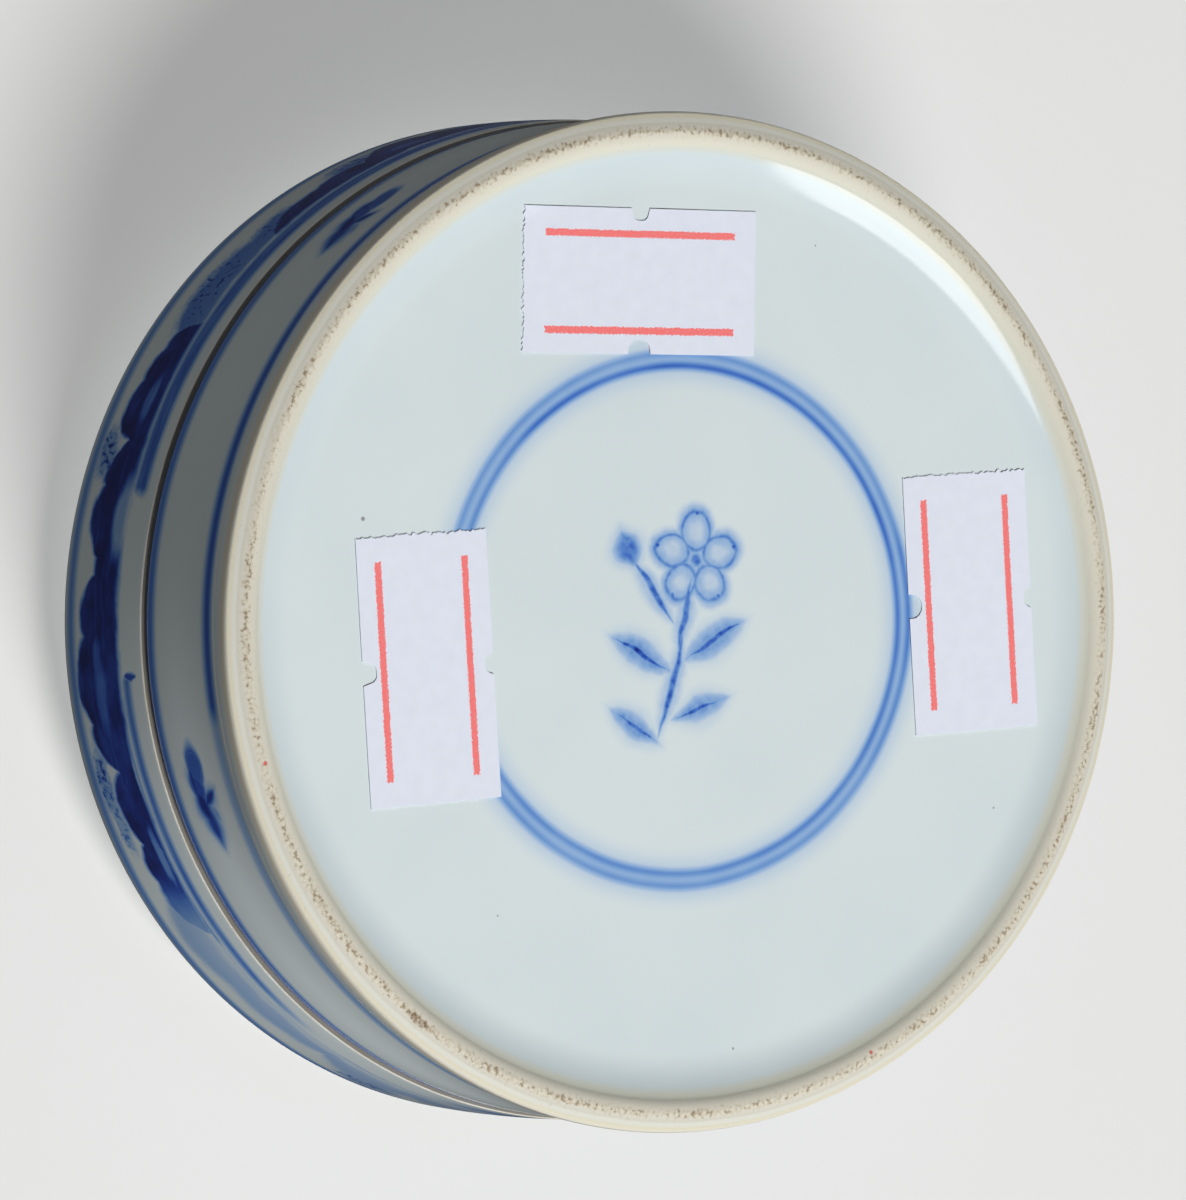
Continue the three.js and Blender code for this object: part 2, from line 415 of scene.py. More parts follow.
def footBiscuit():
    finish = newFinish("unglazed porcelain foot")
    space, s = potSpace(), foot
    first, last = s["bands"][0][0], s["bands"][-1][0]
    swayed = handDrawn(handDrawn(space["flat"], *s["sway"]), *s["ripple"])
    reach = addNode("VectorMath", (swayed,), operation="LENGTH")
    share = addNode("MapRange", (reach, first, last, 0, 1))
    colour = addNode("ValToRGB", (share,), stops=[((r - first) / (last - first), c) for r, c in s["bands"]])
    crest = combine("MULTIPLY", paintedLine(space["radius"], *s["crest"]), cloud(space["flat"], *s["clumps"]))
    grit = cloud(space["flat"], *s["grit"])
    gathered = addNode("Math", (crest, s["gather"], grit), operation="MULTIPLY_ADD")
    stain = (*onPot(*s["stainAt"]), s["stainAt"][0] + 90, *s["stainStroke"])
    stain = combine("MULTIPLY", brushStroke(swayed, stain, s["stainEdge"]),
                    addNode("MapRange", (grit, *s["stainBreaks"])))
    layers = [(soften(gathered, *s["smearFade"]), s["smear"]),
              (soften(gathered, *s["speckFade"]), s["speck"]), (stain, s["stain"])]
    for bearing, reach, size in s["dots"]:
        spot = touch(space["flat"], onPot(bearing, reach), (size, size))
        layers.append((soften(spot, *s["dotFade"]), s["dot"]))
    return setSurface(finish, space["place"], layOver(colour, *layers), s)


# Wall of the lower box: two wheel-drawn lines, and five small leafy sprigs between them
lowerWall = {
    "lines": (((4.8, 1.7, 0.75, 0.84), (-103, 3, 60, 350), (1.0, 0.5)),
              ((15.1, 1.8, 0.7, 0.84), (40, 4, 0, 300), (1.0, 0.86))),
    "lineShake": (14, 0.12),
    "sprigs": 5, "firstSprig": -110.8, "sprigHeight": 10.1, "wallRadius": 41.6,
    "sprigEdge": (0.8, 0.7), "sprigShake": (2.5, 0.4),
    # petals are strokes that have the strength of their rim as well
    "petals": ((0.7, 0.6, 25, 3.0, 2.2, 0.86, 0.90), (2.6, 0.2, 4, 3.8, 2.2, 0.82, 0.90)),
    "sprig": ((-0.9, 0.5, 25, 3.8, 2.6, 0.96), (-2.2, 0.0, 6, 4.5, 2.5, 0.90),
              (-0.1, -0.9, -50, 3.0, 1.1, 0.94), (1.2, 1.1, -6, 3.4, 1.1, 0.92),
              (-1.4, -1.2, 30, 1.8, 0.9, 0.56)),
    "toast": "DED8C6", "toastFade": (1.2, 2.0, 1, 0),
}


def lowerWallGlaze():
    finish = newFinish("clear glaze with cobalt sprigs")
    space, s = potSpace(), lowerWall
    level = addNode("SeparateXYZ", (handDrawn(space["place"], *s["lineShake"]),)).outputs["Z"]
    strokes = wheelLines(space, level, s["lines"])
    # every sprig is drawn on the same patch of wall, which repeats round the box
    along = alongWall(space, s["firstSprig"], 180 / s["sprigs"], s["wallRadius"])
    plane = addNode("CombineXYZ", (along, combine("SUBTRACT", space["height"], s["sprigHeight"])))
    plane = handDrawn(plane, *s["sprigShake"], space["place"])
    strokes += [ovalDab(plane, petal) for petal in s["petals"]]
    strokes += [brushStroke(plane, stroke, *s["sprigEdge"]) for stroke in s["sprig"]]
    body = layOver(glazeBody(space), (soften(space["height"], *s["toastFade"]), s["toast"]))
    return setSurface(finish, space["place"], cobaltOver(combine("MAXIMUM", *strokes), body), glaze)


# Bare clay where the two rims meet: cream white and dry, a little toasted, and darkened in the joint with
# painted shade
seamBiscuit = {
    "pale": "DDD9CE", "toasted": "CDC4B1", "blotches": (4, 3, (0.4, 0.7), (0, 0.8)),
    # painted shade of the joint: its colour, where it darkens, and where it stops short of the cover's outer
    # edge
    "jointShade": "5A5650", "jointShadeFade": (40.9, 41.3, 0, 0.85), "jointShadeEndFade": (41.96, 42.05, 1, 0),
    "roughness": 0.55, "bumps": ((0.2, 0.02, 2),),
}


def rimBiscuit():
    finish = newFinish("unglazed porcelain rims")
    space, s = potSpace(), seamBiscuit
    # painted shade where the two rims face each other across the narrow joint
    jointShade = combine("MULTIPLY", *(soften(space["radius"], *s[fade]) for fade in ("jointShadeFade", "jointShadeEndFade")))
    colour = layOver(s["pale"], (cloud(space["place"], *s["blotches"]), s["toasted"]), (jointShade, s["jointShade"]))
    return setSurface(finish, space["place"], colour, s)


def insideGlaze():
    # plain glaze, with nothing painted under it
    finish = newFinish("clear glaze inside")
    space = potSpace()
    return setSurface(finish, space["place"], glazeBody(space), glaze)


# Wall of the cover: dark hills with trees along a shore, twice round, in mm from the middle of one
coverWall = {
    "middle": -60, "wallRadius": 42.3, "shake": (3.2, 0.6), "tremble": (0.9, 0.22), "levelShake": (16, 0.2),
    "near": {"foot": 20.2, "mist": 0.7, "edge": 0.55, "fade": 7, "strength": (0.99, 0.96),
             "hills": ((-46.6, 4.2, 24.9), (-44.2, 3.6, 25.3), (-38.8, 4.6, 25.6), (-32.6, 3.6, 26.8),
                       (-28.0, 6.4, 28.3), (-22.6, 4.8, 27.2), (-18.4, 3.6, 24.8), (-14.4, 4.6, 26.8),
                       (-10.8, 3.4, 25.9), (-4.6, 4.4, 26.4), (-1.6, 3.6, 25.6), (0.8, 2.6, 24.4),
                       (18.5, 5.6, 24.0), (22.0, 4.0, 24.6), (29.0, 5.2, 27.2), (33.6, 4.4, 25.8),
                       (43.0, 5.6, 24.8))},
    "middling": {"foot": 20.2, "mist": 0.6, "edge": 0.9, "fade": 6, "strength": (0.74, 0.66),
                 "hills": ((5.4, 5.0, 25.6), (9.6, 5.4, 25.0), (14.6, 5.0, 24.6), (24.6, 4.6, 26.0),
                           (38.0, 6.0, 25.6))},
    "far": {"foot": 20.8, "mist": 1.2, "edge": 1.5, "fade": 6, "strength": (0.42, 0.24),
            "hills": ((-58.6, 9.6, 25.4), (-52.4, 7.0, 26.6), (52.6, 7.0, 25.4), (61.6, 6.4, 25.8))},
    "firstHill": (-51.5, -44, 0.5, 1),
    # the lines of ground, shore, bank and underline, and where each starts and ends, with half its fade there
    "bands": (((21.2, 2.2, 0.7, 0.98), (-47.6, 0.5), (3.4, 0.5)),
              ((18.95, 1.2, 0.65, 0.78), (-60, 5), (-27.6, 0.5)),
              ((18.85, 2.2, 0.6, 0.80), (-12.4, 0.5), (54, 6)),
              ((20.2, 0.5, 0.4, 0.62), (-52, 1), (-16, 2))),
    "hollows": ((-29.2, 23.7, 3.6, 1.2, 0.16), (-26.4, 23.9, 2.2, 0.8, 0.14), (-14.4, 21.0, 3.6, 1.6, 0.5),
                (-4.2, 22.4, 2.4, 0.9, 0.2), (-43.0, 21.4, 3.0, 0.7, 0.34), (-36.0, 20.3, 2.0, 0.5, 0.4),
                (29.4, 22.8, 2.6, 1.0, 0.18)),
    "trees": {"size": 0.5, "strength": (0.50, 0.95),
              "places": ((-40.4, 26.4, 3.0, 1.2, 0.8), (-36.6, 26.8, 3.4, 1.7, 1), (-8.8, 26.6, 2.8, 2.1, 1),
                         (7.0, 23.2, 6.4, 3.2, 1), (14.6, 22.8, 4.2, 2.6, 1), (24.6, 24.6, 3.6, 3.0, 1),
                         (38.6, 25.2, 4.6, 2.4, 1), (60.0, 26.4, 3.8, 1.8, 0.9))},
    "dab": (-27.6, 18.5, 80, 2.0, 0.9, 0.86), "dabEdge": 0.5,
    "rule": (28.9, 1.5, 0.75, 0.66),
    "streaks": ((6, 0.7), 2), "wet": (0.35, 0.65, 0.9, 1.04), "dry": (0.5, 0.75, 0, 0.05),
    "pools": (3.5, 2, (0.45, 0.65), (0, 0.05)),
    # painted glints along the lower edge: where they lie, their white, and their flecks
    "edgeFade": (16.2, 16.34, 1, 0), "glintWhite": "F2F1EC", "glintFlecks": (0.4, 1, (0.56, 0.66), (0, 0.9)),
    "farSide": (-18, 18, 0, 1), "driftSize": 30, "drift": (16, 4, 0),
}


def coverWallGlaze():
    finish = newFinish("clear glaze with cobalt hills")
    space, s = potSpace(), coverWall
    # the picture is painted twice, and the second time by eye: hills there stand a little elsewhere
    plane = addNode("CombineXYZ", (alongWall(space, s["middle"], 90, s["wallRadius"]), space["height"]))
    drift = addNode("VectorMath", (cloud(space["flat"], s["driftSize"]).outputs["Color"], (0.5, 0.5, 0.5)),
                    operation="SUBTRACT")
    drift = addNode("VectorMath", (drift, s["drift"]), operation="MULTIPLY")
    drift = addNode("VectorMath", {0: drift, "Scale": soften(space["y"], *s["farSide"])}, operation="SCALE")
    plane = addNode("VectorMath", (plane, drift), operation="ADD")
    level = handDrawn(plane, *s["levelShake"], space["place"])
    level = addNode("SeparateXYZ", (level,)).outputs["Y"]
    for shake in ("shake", "tremble"):
        plane = handDrawn(plane, *s[shake], space["place"])
    axes = addNode("SeparateXYZ", (plane,)).outputs
    along, height = axes["X"], axes["Y"]
    streaks = cloud(plane, *s["streaks"])
    wet = addNode("MapRange", (streaks, *s["wet"]))
    bands = []
    for line, (start, lead), (end, trail) in s["bands"]:
        bands.append(combine("MULTIPLY", paintedLine(level, *line), wet,
                             soften(along, start - lead, start + lead, 0, 1),
                             soften(along, end - trail, end + trail, 1, 0)))
    near = combine("MAXIMUM", hillWash(along, height, s["near"]), bands[0])
    thin = combine("ADD", clumps(plane, s["hollows"]), addNode("MapRange", (streaks, *s["dry"])),
                   cloud(space["place"], *s["pools"]))
    near = addNode("Math", (near, thin), operation="SUBTRACT", use_clamp=True)
    near = combine("MULTIPLY", near, soften(along, *s["firstHill"]))
    strokes = [hillWash(along, height, s["middling"]), hillWash(along, height, s["far"]),
               leafage(plane, s["trees"]), paintedLine(level, *s["rule"]),
               brushStroke(plane, s["dab"], s["dabEdge"])]
    colour = cobaltOver(combine("MAXIMUM", near, *strokes, *bands[1:]), glazeBody(space))
    # painted glints: white flecks along the ground lower edge, where it catches the light
    glintFlecks = combine("MULTIPLY", soften(space["height"], *s["edgeFade"]), cloud(space["place"], *s["glintFlecks"]))
    return setSurface(finish, space["place"], layOver(colour, (glintFlecks, s["glintWhite"])), glaze)


# Dome of the cover: hills and trees across water, inside a double ring
coverDome = {
    "rings": ((34.3, 0.6, 0.3, 0.74), (35.7, 0.9, 0.35, 0.80)),
    "pictureFade": (32.7, 33.5, 1, 0), "shake": (4, 0.7), "tremble": (1.1, 0.25),
    "layers": ({"foot": 8.0, "mist": 4.0, "edge": 0.9, "fade": 8, "strength": (0.44, 0.16),
                "hills": ((-22, 7, 12.0), (-15, 7, 16.0), (-7, 7, 20.0), (2, 6, 16.5), (9, 6, 18.2),
                          (17, 7, 15.4), (25, 5, 11.8))},
               {"foot": -2.6, "mist": 3.0, "edge": 0.6, "fade": 9, "strength": (0.84, 0.46),
                "hills": ((-28, 5, 4.0), (-23, 5, 7.4), (-17, 5.5, 9.2), (-11, 4, 5.2), (-7, 3, 2.0),
                          (15, 4, 3.6), (20, 5, 7.6), (26, 5, 9.4))},
               {"foot": -18.6, "mist": 1.6, "edge": 0.5, "fade": 10, "strength": (1.0, 0.86),
                "hills": ((-26, 6, -10.6), (-20, 5, -7.8), (-14, 5.5, -5.4), (-8, 4.2, -8.8),
                          (-3.6, 3, -13.0), (7, 3.4, -14.4), (12, 4.6, -10.6), (18, 5.4, -7.6),
                          (23.6, 4.4, -10.8))}),
    "hollows": ((-21, -13.2, 3.6, 1.2, 0.2), (-13, -11.4, 3.0, 1.1, 0.22), (-9, -15.6, 3.4, 1.0, 0.3),
                (17.6, -12.6, 3.4, 1.2, 0.22), (12, -16.2, 2.8, 0.9, 0.3), (-18, 4.4, 3.0, 1.1, 0.2)),
    "trees": {"size": 0.9, "strength": (0.42, 0.88),
              "places": ((-24.5, -7.2, 3.2, 1.8, 1), (-6.0, -6.6, 3.4, 2.6, 1), (8.4, -10.8, 3.0, 2.4, 1),
                         (-12.4, 7.6, 3.4, 2.0, 1), (15.6, 6.2, 3.0, 2.2, 1))},
    "strokes": ((0.5, -1.2, 1, 9, 0.7, 0.5), (5.5, -4.0, -2, 12, 0.7, 0.54), (-3.5, 2.6, 1, 10, 0.6, 0.46),
                (2.0, -8.4, 2, 8, 0.7, 0.54), (-13, -20.0, 1, 32, 1.7, 0.78), (15, -20.2, -2, 24, 1.5, 0.74),
                (-2.0, -22.8, -1, 22, 1.0, 0.6), (5.0, -25.4, 1, 16, 0.8, 0.54)),
    "strokeEdge": (0.4, 0.5), "streaks": ((3.2, 0.8), 2, (0.45, 0.75), (0, 0.1)),
}


def coverDomeGlaze():
    finish = newFinish("clear glaze with cobalt lake")
    space, s = potSpace(), coverDome
    plane = handDrawn(handDrawn(space["flat"], *s["shake"]), *s["tremble"])
    axes = addNode("SeparateXYZ", (plane,)).outputs
    strokes = [hillWash(axes["X"], axes["Y"], layer) for layer in s["layers"]]
    strokes += [brushStroke(plane, stroke, *s["strokeEdge"]) for stroke in s["strokes"]]
    strokes.append(leafage(plane, s["trees"]))
    thin = combine("ADD", cloud(plane, *s["streaks"]), clumps(plane, s["hollows"]))
    picture = addNode("Math", (combine("MAXIMUM", *strokes), thin), operation="SUBTRACT", use_clamp=True)
    picture = combine("MULTIPLY", picture, soften(space["radius"], *s["pictureFade"]))
    rings = [paintedLine(space["radius"], *line) for line in s["rings"]]
    colour = cobaltOver(combine("MAXIMUM", picture, *rings), glazeBody(space))
    return setSurface(finish, space["place"], colour, glaze)


# Price label paper: soft lavender white, with two rules of red ink that the roller left grainy
paper = {
    "sheet": "DFE4F0", "shade": "DBE0EC", "mottle": (1.2, 4, (0.3, 0.7)),
    "ink": "F47876", "inkWorn": "EA9A9A", "grain": 0.16, "worn": (0.55, 0.7, 0, 0.8),
    "rules": (2.1, 1.9), "ruleWidth": 0.58, "ruleInset": 2.0,
    "ragged": (0.3, 0.7, -0.07, 0.07), "ruleFade": (0.03, -0.03, 0, 1),
    "roughness": 0.75, "bumps": ((0.22, 0.006, 3),),
}


def pricePaper():
    finish, s = newFinish("price label paper"), paper
    length, width = labels["length"], labels["width"]
    sheet = addNode("TexCoord").outputs["UV"]
    sheet = addNode("VectorMath", (sheet, (length, width, 0)), operation="MULTIPLY")
    axes = addNode("SeparateXYZ", (sheet,)).outputs
    grain = cloud(sheet, s["grain"])
    ragged = addNode("MapRange", (grain, *s["ragged"]))
    past = combine("SUBTRACT", awayFrom(axes["X"], length / 2), length / 2 - s["ruleInset"])
    rules = []
    for at in (s["rules"][0], width - s["rules"][1]):
        off = combine("SUBTRACT", awayFrom(axes["Y"], at), s["ruleWidth"] / 2)
        edge = combine("ADD", combine("MAXIMUM", off, past), ragged)
        rules.append(addNode("MapRange", (edge, *s["ruleFade"])))
    red = layOver(s["ink"], (addNode("MapRange", (grain, *s["worn"])), s["inkWorn"]))
    colour = layOver(s["sheet"], (cloud(sheet, *s["mottle"]), s["shade"]), (combine("MAXIMUM", *rules), red))
    return setSurface(finish, sheet, colour, s)


def arc(radius, height, size, start, end, steps=10):
    # points on an arc about (radius, height), from start to end in degrees
    turns = [math.radians(start + (end - start) * i / steps) for i in range(steps + 1)]
    return [(radius + size * math.cos(a), height + size * math.sin(a)) for a in turns]


def sweep(controls, steps=16):
    # points on the smooth curve that the control points pull
    points = []
    for i in range(steps + 1):
        row = controls
        while len(row) > 1:
            row = [(a[0] + (b[0] - a[0]) * i / steps, a[1] + (b[1] - a[1]) * i / steps)
                   for a, b in zip(row, row[1:])]
        points.append(row[0])
    return points


def newPiece(name, add, **sizes):
    # one of the program's own shapes, alone in the selection
    bpy.ops.object.select_all(action="DESELECT")
    add(**sizes)
    piece = bpy.context.object
    piece.name = piece.data.name = name
    return piece


def editAll():
    # edit mode, with everything selected
    bpy.ops.object.mode_set(mode="EDIT")
    bpy.ops.mesh.select_all(action="SELECT")


def modify(piece, name, kind, **settings):
    # gives a piece a modifier and applies it
    modifier = piece.modifiers.new(name, kind)
    for setting, value in settings.items():
        setattr(modifier, setting, value)
    bpy.ops.object.modifier_apply(modifier=modifier.name)


# How finely the turned pieces are cut
turning = {"steps": 288, "merge": 0.002, "cornerWidth": 0.12, "cornerAngle": 24, "cornerSteps": 3}


def throwPot(name, profile):
    # draws the profile from one vertex, out of the last point each time, and spins it about the box's axis
    pot = newPiece(name, bpy.ops.mesh.primitive_plane_add, size=mm)
    editAll()
    bpy.ops.mesh.merge(type="CENTER")
    bpy.ops.transform.translate(value=(profile[0][0] * mm, 0, profile[0][1] * mm))
    for here, there in zip(profile, profile[1:]):
        step = ((there[0] - here[0]) * mm, 0, (there[1] - here[1]) * mm)
        bpy.ops.mesh.extrude_region_move(TRANSFORM_OT_translate={"value": step})
    bpy.ops.mesh.select_all(action="SELECT")
    bpy.ops.mesh.spin(steps=turning["steps"], angle=2 * math.pi, center=(0, 0, 0), axis=(0, 0, 1))
    bpy.ops.mesh.select_all(action="SELECT")
    bpy.ops.mesh.remove_doubles(threshold=turning["merge"] * mm)
    bpy.ops.mesh.normals_make_consistent(inside=False)
    bpy.ops.object.mode_set(mode="OBJECT")
    angle = math.radians(turning["cornerAngle"])
    modify(pot, "worn corners", "BEVEL", limit_method="ANGLE", angle_limit=angle,
           width=turning["cornerWidth"] * mm, segments=turning["cornerSteps"])
    bpy.ops.object.shade_smooth()
    return pot


def dress(pot, zones):
    # each face takes the first finish whose test its middle passes
    for finish, inZone in zones:
        pot.data.materials.append(finish)
    for face in pot.data.polygons:
        radius, height = math.hypot(face.center.x, face.center.y) / mm, face.center.z / mm
        face.material_index = next(i for i, (finish, inZone) in enumerate(zones)
                                   if inZone(radius, height, face.normal.z))


# Lower box: sizes in mm, measured in from the CAD piece's own foot and rim
lowerBox = {
    "footSpread": 0.1, "waistDepth": 0.35, "waistHeight": 5.2, "stepRound": 0.35,
    "recess": 1.9, "sag": 0.5, "sagPower": 3, "sagSteps": 14,
    "borderStart": 6.45, "borderWidth": 3.2, "borderDrop": 0.6, "glazeCreep": 0.4,
    # the worn foot: how the clay falls from the edge of the glaze, and how it turns up to the wall
    "standInset": 1.7, "footFall": ((0.25, 0.28), (0.5, 0.06)), "crestRound": 0.2,
    "bevel": (0.28, 0.42), "heel": ((0.12, 0.475), (0, 0.6)), "footRise": 1.1, "glazeLine": 0.7,
    "floor": 5.1, "floorCove": 6, "floorRings": (20, 8, 0), "innerTaper": 0.5,
    "rimHeight": 4, "rimInset": 3.0, "rimThickness": 1.7, "rimTaper": 0.3, "rimRound": 0.6, "rimFillet": 0.4,
    # where the glaze stops: over the recess, and short of the step and the rim
    "recessSlack": 0.01, "bareInset": 0.45, "bareDrop": 0.04, "bareRim": 0.2,
}


def makeLowerBox():
    s = lowerBox
    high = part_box("lower_box")[1]
    footRadius, rimTop = high.x / mm, high.z / mm
    wallRadius, seam = footRadius - s["footSpread"], rimTop - s["rimHeight"]
    waist = wallRadius - s["waistDepth"]
    crest = footRadius - s["standInset"]
    flat = footRadius - s["borderStart"]
    border = (s["borderWidth"] ** 2 + s["borderDrop"] ** 2) / (2 * s["borderDrop"])
    glazeEdge = flat + s["borderWidth"] + s["glazeCreep"]
    sagSlope = math.atan(s["sagPower"] * s["sag"] / flat)
    slope = math.asin((glazeEdge - flat) / border + math.sin(sagSlope))
    borderTop = s["recess"] - s["sag"]
    glazeEnd = borderTop - border * (math.cos(sagSlope) - math.cos(slope))
    wallFoot = s["footRise"]
    lowPull, highPull = (s["waistHeight"] - wallFoot) / 2, (seam - s["waistHeight"]) / 2
    rimFoot = wallRadius - s["rimInset"]
    rimOuter = rimFoot - s["rimTaper"]
    rimInner = rimOuter - s["rimThickness"]
    cavity = rimInner - s["innerTaper"]
    shares = [i / s["sagSteps"] for i in range(s["sagSteps"])]
    profile = [(flat * share, s["recess"] - s["sag"] * share ** s["sagPower"]) for share in shares]
    profile += arc(flat - border * math.sin(sagSlope), borderTop - border * math.cos(sagSlope), border,
                   90 - math.degrees(sagSlope), 90 - math.degrees(slope), steps=14)
    fall = [(glazeEdge + across, height) for across, height in ((0, glazeEnd), *s["footFall"])]
    profile += sweep(fall + [(crest, 0)], steps=20)[1:]
    bevelEnd = (footRadius - s["bevel"][0], s["bevel"][1])
    profile += sweep([(crest, 0), (crest + s["crestRound"], 0), bevelEnd], steps=10)[1:]
    heel = [(footRadius - inset, height) for inset, height in s["heel"]]
    profile += sweep([bevelEnd] + heel + [(footRadius, wallFoot)], steps=10)[1:]
    profile += sweep([(footRadius, wallFoot), (footRadius, wallFoot + lowPull),
                      (waist, s["waistHeight"] - lowPull), (waist, s["waistHeight"])])[1:]
    profile += sweep([(waist, s["waistHeight"]), (waist, s["waistHeight"] + highPull),
                      (wallRadius, seam - highPull), (wallRadius, seam - s["stepRound"])])[1:]
    profile += arc(wallRadius - s["stepRound"], seam - s["stepRound"], s["stepRound"], 0, 90, steps=5)[1:]
    profile += arc(rimFoot + s["rimFillet"], seam + s["rimFillet"], s["rimFillet"], -90, -180, steps=5)
    profile += arc(rimOuter - s["rimRound"], rimTop - s["rimRound"], s["rimRound"], 0, 90, steps=6)
    profile += arc(rimInner + s["rimRound"], rimTop - s["rimRound"], s["rimRound"], 90, 180, steps=6)
    profile += arc(cavity - s["floorCove"], s["floor"] + s["floorCove"], s["floorCove"], 0, -90, steps=14)
    profile += [(ring, s["floor"]) for ring in s["floorRings"]]
    pot = throwPot("lowerBoxPorcelain", profile)
    underTop, bareFoot = s["recess"] + s["recessSlack"], seam - s["bareDrop"]
    bareFrom, bareTo = rimInner + s["bareRim"], wallRadius - s["bareInset"]
    dress(pot, (
        (undersideGlaze(), lambda radius, height, up: radius < glazeEdge and height <= underTop),
        (footBiscuit(), lambda radius, height, up: height < s["glazeLine" if radius > crest else "recess"]),
        (rimBiscuit(), lambda radius, height, up: height > bareFoot and bareFrom < radius < bareTo),
        (insideGlaze(), lambda radius, height, up: radius < rimFoot),
        (lowerWallGlaze(), lambda radius, height, up: True),
    ))
    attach(pot, "lower_box")
    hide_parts("lower_box")
    return pot


# Cover: sizes in mm, measured in from the CAD piece's shoulder and lower edge
cover = {
    "flare": 0.5, "wallHeight": 13, "thickness": 2.8, "edgeRound": 0.16, "shoulderRound": 5, "domeSlope": 6.5,
    # where the painting stops: short of the edge, and at the inside, which faces in or down
    "bareHeight": 0.1, "insideReach": 0.3, "insideUp": 0.2,
}


def makeCover():
    s = cover
    low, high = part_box("cover")
    shoulder, lowerEdge = high.x / mm, low.z / mm
    edge = shoulder - s["flare"]
    inner = edge - s["thickness"]
    shoulderFoot = lowerEdge + s["wallHeight"]
    centre = shoulder - s["shoulderRound"]
    slope = math.radians(s["domeSlope"])
    dome = (centre + s["shoulderRound"] * math.sin(slope)) / math.sin(slope)
    domeCentre = shoulderFoot + (s["shoulderRound"] - dome) * math.cos(slope)
    profile = arc(0, domeCentre, dome - s["thickness"], 90, 90 - s["domeSlope"])
    profile[0] = (0, profile[0][1])
    profile += arc(centre, shoulderFoot, s["shoulderRound"] - s["thickness"], 90 - s["domeSlope"], 0)[1:]
    profile += arc(inner + s["edgeRound"], lowerEdge + s["edgeRound"], s["edgeRound"], 180, 270, steps=5)
    profile += arc(edge - s["edgeRound"], lowerEdge + s["edgeRound"], s["edgeRound"], -90, 0, steps=5)
    profile += sweep([(edge, lowerEdge + s["edgeRound"]), (shoulder, shoulderFoot - s["wallHeight"] / 2),
                      (shoulder, shoulderFoot)], steps=20)[1:]
    profile += arc(centre, shoulderFoot, s["shoulderRound"], 0, 90 - s["domeSlope"], steps=16)[1:]
    profile += arc(0, domeCentre, dome, 90 - s["domeSlope"], 90, steps=14)[1:]
    profile[-1] = (0, profile[-1][1])
    pot = throwPot("coverPorcelain", profile)
    inside = inner + s["flare"] + s["insideReach"]
    dress(pot, (
        (rimBiscuit(), lambda radius, height, up: height < lowerEdge + s["bareHeight"]),
        (insideGlaze(), lambda radius, height, up: radius < inside and up < s["insideUp"]),
        (coverDomeGlaze(), lambda radius, height, up: radius < centre),
        (coverWallGlaze(), lambda radius, height, up: True),
    ))
    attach(pot, "cover")
    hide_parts("cover")


# Labels: cut from one roll, so their size is the same but each was torn and notched a little differently
labels = {
    "length": 21.7, "width": 11.9, "thickness": 0.07, "glue": 0.02, "rows": (60, 96),
    "tornEnd": 0.6, "cutEnd": 0.1, "endShare": 0.999, "tearSize": 0.24, "buckle": 0.04, "buckleSize": 7,
    # how each is turned, and its two notches: width at the side and at the bottom, depth, and rounding
    "sheets": {"label_right": (88.7, (2.2, 1.15, 1.0, 0.35), (2.1, 2.05, 1.2, 0.95)),
               "label_front": (175.0, (2.2, 1.3, 0.75, 0.4), (2.7, 1.3, 1.25, 0.4)),
               "label_back": (175.1, (2.2, 1.2, 0.7, 0.4), (2.1, 2.0, 1.25, 0.95))},
    "punchHeight": 4, "noseSteps": 8,
}


def pickCorners(piece, test):
    # selects the vertices that pass, and the edges between them
    bpy.ops.object.mode_set(mode="EDIT")
    bpy.ops.mesh.select_mode(type="VERT")
    bpy.ops.mesh.select_all(action="DESELECT")
    bpy.ops.object.mode_set(mode="OBJECT")
    for corner in piece.data.vertices:
        corner.select = test(corner.co)
    bpy.ops.object.mode_set(mode="EDIT")


def cutNotch(label, middle, turn, side, notch):
    # a tapered punch with a rounded nose, pushed in from one long side of the label
    s = labels
    opening, bottom, depth, rounding = (size * mm for size in notch)
    punch = newPiece("punch", bpy.ops.mesh.primitive_cube_add, size=1)
    punch.scale = (opening, 2 * depth, s["punchHeight"] * mm)
    bpy.ops.object.transform_apply(location=False, rotation=False, scale=True)
    pickCorners(punch, lambda place: place.y > 0)
    bpy.ops.transform.resize(value=(bottom / opening, 1, 1))
    bpy.ops.object.mode_set(mode="OBJECT")
    front = punch.vertex_groups.new(name="nose")
    front.add([v.index for v in punch.data.vertices if v.co.y > 0], 1, "REPLACE")
    modify(punch, "rounded nose", "BEVEL", affect="EDGES", limit_method="VGROUP", vertex_group=front.name,
           width=rounding, segments=s["noseSteps"])
    spin = Matrix.Rotation(math.radians(turn if side < 0 else turn + 180), 4, "Z")
    offset = Matrix.Rotation(math.radians(turn), 4, "Z") @ Vector((0, side * s["width"] / 2 * mm, 0))
    punch.matrix_world = Matrix.Translation(middle + offset) @ spin
    bpy.ops.object.select_all(action="DESELECT")
    bpy.context.view_layer.objects.active = label
    modify(label, "notch", "BOOLEAN", operation="DIFFERENCE", solver="EXACT", object=punch)
    bpy.data.objects.remove(punch)


def ruffle(label, name, size, strength, direction, group=""):
    # pushes the paper about with a soft noise of this size, in mm
    texture = bpy.data.textures.new(name, "CLOUDS")
    texture.noise_scale = size * mm
    modify(label, name, "DISPLACE", texture=texture, texture_coords="GLOBAL", direction=direction,
           vertex_group=group, strength=strength * mm, mid_level=0.5 if group else 0)


